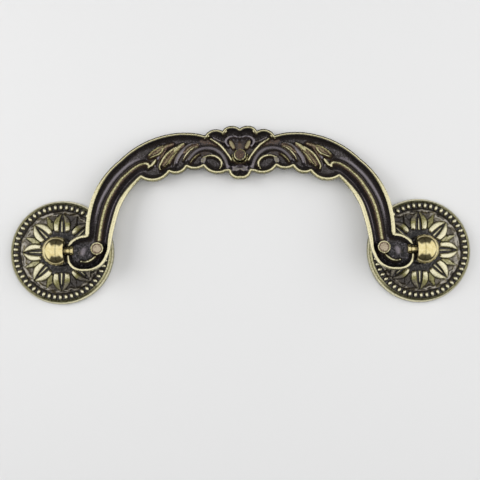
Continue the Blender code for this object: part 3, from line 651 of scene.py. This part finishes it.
rosette = {
    "radius": 18.55,
    "hole": 2.8,
    "around": 600,            # points round each ring
    "coringDepth": 2.0,
    "coringWidth": 2.2,
    "beadCount": 50,
    "beadCircle": 16.0,
    "beadLength": 1.0,        # half the size of a bead along the radius and across it
    "beadHalf": 0.72,
    "beadCentre": 3.3,
    "beadRise": 1.15,
    "beadChannel": 14.75,     # where the channel of the beads begins
    "rimStart": 17.0,
    # how bright the rim is rubbed at its radii
    "rimRub": ((17.0, 17.12, 17.6, 17.85, 17.95, 18.02, 18.3, 18.45),
               (0.0, 0.55, 0.5, 0.34, 0.36, 0.68, 0.68, 0.5)),
    "field": 1.7,
    "cloudCircle": 14.0,      # the wavy raised edge of the field
    "cloudWidth": 0.6,
    "cloudRise": 0.5,
    "tipStart": 9.2,          # the leaf tips between the petals
    "tipEnd": 14.0,
    "tipHalf": 1.9,
    "tipRise": 0.75,
    "petalCount": 8,
    "petalStart": 7.2,
    "petalEnd": 14.0,
    "petalRise": 1.15,
    # half width of a petal, and of the gap between its lobes, at shares of its length
    "petalShares": (0.0, 0.09, 0.2, 0.35, 0.5, 0.65, 0.78, 0.88, 0.955, 1.0),
    "petalWidths": (2.55, 2.85, 3.1, 3.25, 3.2, 2.85, 2.25, 1.5, 0.75, 0.0),
    "petalGaps": (1.05, 1.05, 1.0, 0.9, 0.75, 0.55, 0.35, 0.18, 0.08, 0.0),
    # top of the section: radius and height
    "section": [(2.8, 2.6), (4.2, 2.6), (4.45, 2.5), (5.0, 1.75), (5.4, 1.7), (14.2, 1.75),
                (14.5, 2.0), (14.65, 2.15), (14.8, 2.0), (14.85, 2.2), (14.95, 2.9),
                (15.1, 3.1), (16.75, 3.1), (16.85, 3.0), (16.95, 3.0), (17.03, 3.2),
                (17.1, 3.38), (17.25, 3.3), (17.85, 2.72), (17.92, 2.5), (18.0, 2.4),
                (18.45, 1.5), (18.55, 1.2)],
}


def rosetteTop(radius, angle, side):
    # height over radius and angle: the section, a field with low waves and a wavy edge, leaf
    # tips that are lenses across, petals of two lobes with a vein between them, and half an
    # ellipsoid for each bead
    section = np.array(rosette["section"])
    height = np.interp(radius, section[:, 0], section[:, 1])
    wavy = 0.22 * np.sin(8 * angle + 0.4) + 0.13 * np.sin(19 * angle + 1.0) \
        + 0.08 * np.sin(37 * angle)
    inField = smoothStep(5.2, 6.0, radius) * (1 - smoothStep(14.5, 14.9, radius + 0.6 * wavy))
    height += inField * 0.14 * np.sin(3.1 * radius + 2 * np.sin(11 * angle)) \
        * np.sin(23 * angle + radius) * smoothStep(8.0, 11.0, radius)
    cloud = np.exp(-((radius - rosette["cloudCircle"] + 1.5 * wavy)
                     / rosette["cloudWidth"]) ** 2)
    height += rosette["cloudRise"] * cloud
    outwardLight = smoothStep(-0.35, 0.85, side * np.cos(angle))    # painted light: lighter on the side away from the bail, painted shade towards it
    gold = inField * smoothStep(9.0, 12.0, radius) * (0.08 - 0.55 * (1 - outwardLight) ** 2)
    patches = np.sin(5 * angle + 1.1 * radius) * np.sin(9 * angle - 1.7 * radius + 1.0)
    bronze = inField * smoothStep(8.5, 11.5, radius) * (0.04 + 0.9 * outwardLight) * (1.0 + 0.7 * patches)
    # painted highlight: the wavy raised edge of the field is painted pale beige grey
    bronze += (1.2 + 0.4 * outwardLight) * cloud
    pitch = math.tau / rosette["petalCount"]

    behind = angle % pitch - pitch / 2    # leaf tips, half way between the petals
    along, across = radius * np.cos(behind), np.abs(radius * np.sin(behind))
    share = (along - rosette["tipStart"]) / (rosette["tipEnd"] - rosette["tipStart"])
    half = rosette["tipHalf"] * np.clip(1 - share, 0, 1) ** 0.7 * smoothStep(-0.2, 0.2, share)
    lens = np.clip(1 - (across / np.maximum(half, 1e-6)) ** 2, 0, 1) * (half > 0)
    tip = rosette["tipRise"] * lens ** 0.7 - 0.12 * np.exp(-(across / 0.25) ** 2) * (lens > 0)
    height += np.clip(tip, 0, None)
    gold = np.maximum(gold, (0.58 + 0.15 * np.clip(share, 0, 1)) * smoothStep(0.1, 0.6, lens)
                      * outwardLight)
    bronze = np.maximum(bronze, (0.1 + 1.8 * outwardLight) * smoothStep(0.0, 0.5, lens))

    beside = (angle + pitch / 2) % pitch - pitch / 2    # petals
    along, across = radius * np.cos(beside), np.abs(radius * np.sin(beside))
    share = (along - rosette["petalStart"]) / (rosette["petalEnd"] - rosette["petalStart"])
    on = (share > 0) & (share < 1)
    share = np.clip(share, 0, 1)
    half = np.interp(share, rosette["petalShares"], rosette["petalWidths"])
    gap = np.interp(share, rosette["petalShares"], rosette["petalGaps"])
    reach = (across - gap) / np.maximum(half - gap, 1e-6)
    lobe = np.clip(1 - (np.abs(reach - 0.5) / 0.5) ** 3, 0, 1) * on
    arch = ellipse(share / 0.13) * np.sqrt(1 - np.clip((share - 0.3) / 0.72, 0, 1) ** 2)
    petal = rosette["petalRise"] * np.sqrt(lobe) * arch
    under = (across < half) & on
    height = np.where(under, rosette["field"] - 0.25 + petal, height)
    vein = np.clip(1 - (across / (0.45 * (1 - 0.75 * share))) ** 2, 0, 1) \
        * ellipse(share / 0.06) * smoothStep(0.72, 0.55, share)
    height = np.maximum(height, (rosette["field"] + 0.6 * np.sqrt(vein)) * (vein > 0))
    # painted shade: the petals that point up, down and inwards are painted darker towards their
    # tips
    shade = 1 - 0.9 * (1 - outwardLight) * smoothStep(0.0, 0.75, share)
    rubbed = smoothStep(0.12, 0.6, lobe * ellipse(share / 0.13)) * (1.0 - 0.17 * share)
    gold = np.where(under, np.maximum(rubbed * shade, 0.8 * smoothStep(0.1, 0.6, vein)), gold)
    bronze = np.where(under, 0.9 * smoothStep(0.1, 0.5, lobe), bronze)

    step = math.tau / rosette["beadCount"]
    nearest = (angle % step) - step / 2
    outward = (radius * np.cos(nearest) - rosette["beadCircle"]) / rosette["beadLength"]
    aside = radius * np.sin(nearest) / rosette["beadHalf"]
    inside = np.clip(1 - outward ** 2 - aside ** 2, 0, 1)
    bead = rosette["beadCentre"] + rosette["beadRise"] * np.sqrt(inside)
    height = np.where(inside > 0, np.maximum(height, bead), height)
    # the bead tops are rubbed bright and carry a painted highlight, brighter on the outer side;
    # their channel is painted dark, painted shade
    worn = 1 - smoothStep(0.62, 0.98, np.hypot(outward, aside * (1.1 + 0.25 * outward)))
    channel = radius > rosette["beadChannel"]
    gold = np.maximum(np.where(channel, -0.4, gold), (1.05 + 0.15 * outwardLight) * worn)
    bronze = np.where(channel, 0.0, bronze)
    # the rim is painted brighter on the side towards the bail, painted light
    rim = np.interp(radius, *rosette["rimRub"]) * (1.25 - 0.25 * outwardLight)
    gold = np.where(radius > rosette["rimStart"], rim, gold)
    gold -= 0.9 * smoothStep(7.4, 6.6, radius)    # painted shade round the ball's foot, under the ball
    return height, gold, bronze


def makeRosette(name, side):
    # rings of points from the hole to the edge, close together where the beads are, then the
    # profile of the underside with its cored groove, all carried once round
    hole, edge, circle = rosette["hole"], rosette["radius"], rosette["beadCircle"]
    ringRadii = np.concatenate([np.arange(hole, 5.8, 0.3), np.arange(5.8, 13.9, 0.19),
                                np.arange(13.9, 18.5, 0.105), [edge]])
    angle = np.arange(rosette["around"]) * math.tau / rosette["around"]
    radius, turn = np.meshgrid(ringRadii, angle, indexing="ij")
    height, gold, bronze = rosetteTop(radius, turn, side)
    width, depth = rosette["coringWidth"] / 2, rosette["coringDepth"]
    back = np.array([(edge, 0.6), (edge, 0.12), (edge - 0.12, 0.0), (circle + width, 0.0),
                     (circle + 0.3, depth - 0.3), (circle, depth), (circle - 0.3, depth - 0.3),
                     (circle - width, 0.0), (9.0, 0.0), (hole + 0.15, 0.0), (hole, 0.15),
                     (hole, 1.4)])
    behind = np.stack(np.broadcast_arrays(back[:, :1], turn[:1], back[:, 1:]), -1)
    shape = np.concatenate([np.stack([radius, turn, height], -1), behind])
    gold = np.concatenate([gold, np.full(behind.shape[:2], 0.35)])
    bronze = np.concatenate([bronze, np.full(behind.shape[:2], 0.5)])
    world = np.stack([side * pinReach + shape[..., 0] * np.cos(shape[..., 1]),
                      pivot[1] + shape[..., 0] * np.sin(shape[..., 1]), shape[..., 2]], -1)
    return surfaceMesh(name, world, {"gold": gold, "bronze": bronze})


lowCorner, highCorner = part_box("right_rosette")
pinReach = (lowCorner.x + highCorner.x) / 2 / mm    # the rosettes' distance from the middle

castBail = makeBail()
for side in (-1, 1):
    carve(castBail, pinTool(side, pin["radius"] + pin["seatGap"],
                            pin["headRadius"] + pin["seatGap"], -pin["headLength"] - 0.35, 3.0))
finish(castBail, "bail", "bail", bailBrass)
print("bail:", len(castBail.data.polygons), "faces")

for word, side in (("left", -1), ("right", 1)):
    plate = makeRosette(word + "BeadedRosette", side)
    finish(plate, "base", word + "_rosette", rosetteBrass)
    ball = makePost(word + "BallPost", side)
    carve(ball, flatTool(side))
    carve(ball, pinTool(side, pin["radius"] + 0.02, pin["radius"] + 0.02, 0.5,
                        pin["tail"] - pin["shoulder"] + 0.1))
    finish(ball, "base", word + "_post", polishedBrass)
    bolt = makePin(word + "HeadedPin", side)
    finish(bolt, "base", word + "_pin", polishedBrass)
    print(word, "rosette, post and pin:", len(plate.data.polygons), "faces")


# Table, light and camera

stage = {
    "tableColour": "#e2e2e2",
    "farColour": "#3a3836",   # what the metal mirrors of the table above and below the pull
    "farEdge": (0.022, 0.034),    # metres from the pin axis
    "backdrop": "#ececec",
    "tableSize": 3.0,         # metres
    "brightSide": 1.0,        # the soft boxes to the left and right
    "darkSide": 0.07,         # the unlit room above and below the picture
    "crease": 0.28,           # the narrow dark gap between the two soft boxes
    "sectorSlope": -0.9,      # how far the unlit room reaches round towards the sides
    "sectorEdge": (0.06, -0.12),
    "leanEdge": (0.80, 0.55),    # heights of a direction between which the room turns dark
    "creaseEdge": (0.02, 0.09),
    "mattShare": 0.5,         # how much of the room lights matt surfaces
    # soft boxes: name, place and size in metres, watts
    "boxes": [("keyBox", (-0.32, 0.065, 0.30), 0.26, 0.75),
              ("fillBox", (0.32, 0.05, 0.30), 0.45, 0.92),
              ("topBox", (0.0, 0.0, 0.55), 0.3, 0.6)],
}


def makeTable():    # one large square just under the pull
    half = stage["tableSize"] / 2
    mesh = bpy.data.meshes.new("whiteTable")
    mesh.from_pydata([(-half, -half, -0.0001), (half, -half, -0.0001), (half, half, -0.0001),
                      (-half, half, -0.0001)], [], [(0, 1, 2, 3)])
    table = bpy.data.objects.new("whiteTable", mesh)
    scene.collection.objects.link(table)
    material = bpy.data.materials.new("matt_white_board")    # flat, without gloss
    material.use_nodes = True
    tree = material.node_tree
    surface = tree.nodes["Principled BSDF"]
    surface.inputs["Base Color"].default_value = hexColour(stage["tableColour"])
    surface.inputs["Roughness"].default_value = 0.9
    surface.inputs["Specular IOR Level"].default_value = 0.2
    # in the metal's mirror the table is dark beyond the edges of the light tent
    place = addNode(tree, "ShaderNodeTexCoord").outputs["Object"]
    part = addNode(tree, "ShaderNodeSeparateXYZ", {0: place})
    offset = addNode(tree, "ShaderNodeMath", {0: part.outputs[1], 1: -pivot[1] * mm},
                     operation="ADD")
    reach = addNode(tree, "ShaderNodeMath", {0: offset.outputs[0]}, operation="ABSOLUTE")
    far = addNode(tree, "ShaderNodeMapRange", {0: reach.outputs[0], 1: stage["farEdge"][0],
                                               2: stage["farEdge"][1]}, clamp=True)
    mirrored = addNode(tree, "ShaderNodeLightPath").outputs["Is Glossy Ray"]
    share = addNode(tree, "ShaderNodeMath", {0: far.outputs[0], 1: mirrored},
                    operation="MULTIPLY")
    beyond = addNode(tree, "ShaderNodeBsdfDiffuse", {0: hexColour(stage["farColour"])})
    both = addNode(tree, "ShaderNodeMixShader", {0: share.outputs[0], 1: surface.outputs[0],
                                                 2: beyond.outputs[0]})
    tree.links.new(both.outputs[0], tree.nodes["Material Output"].inputs[0])
    mesh.materials.append(material)


def addSoftBox(name, place, size, power):    # a square lamp that faces the pull
    lamp = bpy.data.lights.new(name, "AREA")
    lamp.shape, lamp.size, lamp.energy = "SQUARE", size, power
    made = bpy.data.objects.new(name, lamp)
    made.location = place
    made.rotation_euler = (-Vector(place)).to_track_quat("-Z", "Y").to_euler()
    made.visible_glossy = False    # the metal mirrors the room, not the lamp
    scene.collection.objects.link(made)


def makeWorld():
    # the room by direction: bright towards the soft boxes on the left and right, dark above
    # and below the picture, and a plain pale backdrop for the camera
    world = bpy.data.worlds.new("softRoom")
    scene.world = world
    world.use_nodes = True
    tree = world.node_tree
    shown = tree.nodes["Background"]
    way = addNode(tree, "ShaderNodeTexCoord").outputs["Generated"]
    part = addNode(tree, "ShaderNodeSeparateXYZ", {0: way})
    aside = addNode(tree, "ShaderNodeMath", {0: part.outputs[0]}, operation="ABSOLUTE")
    ahead = addNode(tree, "ShaderNodeMath", {0: part.outputs[1]}, operation="ABSOLUTE")
    # dark where the way leads more ahead or back than aside, and leans over far enough
    sector = addNode(tree, "ShaderNodeMath", {0: ahead.outputs[0], 1: stage["sectorSlope"],
                                              2: aside.outputs[0]}, operation="MULTIPLY_ADD")
    azimuth = addNode(tree, "ShaderNodeMapRange", {
        0: sector.outputs[0], 1: stage["sectorEdge"][0], 2: stage["sectorEdge"][1]},
        interpolation_type="SMOOTHSTEP")
    lean = addNode(tree, "ShaderNodeMapRange", {
        0: part.outputs[2], 1: stage["leanEdge"][0], 2: stage["leanEdge"][1]},
        interpolation_type="SMOOTHSTEP")
    dark = addNode(tree, "ShaderNodeMath", {0: azimuth.outputs[0], 1: lean.outputs[0]},
                   operation="MULTIPLY")
    share = addNode(tree, "ShaderNodeMapRange", {0: dark.outputs[0], 3: stage["brightSide"],
                                                 4: stage["darkSide"]})
    gap = addNode(tree, "ShaderNodeMapRange", {
        0: aside.outputs[0], 1: stage["creaseEdge"][0], 2: stage["creaseEdge"][1],
        3: stage["crease"], 4: 1.0}, interpolation_type="SMOOTHSTEP")
    mirrored = addNode(tree, "ShaderNodeMath", {0: share.outputs[0], 1: gap.outputs[0]},
                       operation="MULTIPLY")
    # matt surfaces take more of their light from the lamps
    matt = addNode(tree, "ShaderNodeMapRange", {
        0: addNode(tree, "ShaderNodeLightPath").outputs["Is Diffuse Ray"], 3: 1.0,
        4: stage["mattShare"]})
    level = addNode(tree, "ShaderNodeMath", {0: mirrored.outputs[0], 1: matt.outputs[0]},
                    operation="MULTIPLY")
    room = addNode(tree, "ShaderNodeBackground", {0: (1.0, 1.0, 1.0, 1.0),
                                                  1: level.outputs[0]})
    shown.inputs[0].default_value = hexColour(stage["backdrop"])
    toCamera = addNode(tree, "ShaderNodeLightPath").outputs["Is Camera Ray"]
    both = addNode(tree, "ShaderNodeMixShader", {0: toCamera, 1: room.outputs[0],
                                                 2: shown.outputs[0]})
    tree.links.new(both.outputs[0], tree.nodes["World Output"].inputs[0])


view = {
    "place": (-0.00028, -0.0288, 0.306),    # metres
    "tilt": 3.68,             # degrees from straight down towards +Y
    "roll": -0.35,            # degrees; the photograph's right side is a little higher
    "focalPixels": 849.5,       # over the picture's 480
}


def addCamera():    # straight down with a slight tilt, the picture's top at +Y
    camera = bpy.data.cameras.new("overheadCamera")
    camera.sensor_width, camera.lens = 36.0, 36.0 * view["focalPixels"] / 480
    camera.clip_start = 0.01
    made = bpy.data.objects.new("overheadCamera", camera)
    made.location = view["place"]
    made.rotation_euler = (math.radians(view["tilt"]), 0.0, math.radians(view["roll"]))
    scene.collection.objects.link(made)
    scene.camera = made


makeTable()
makeWorld()
for box in stage["boxes"]:
    addSoftBox(*box)
addCamera()
scene.view_settings.view_transform = "Standard"
print("stage ready")
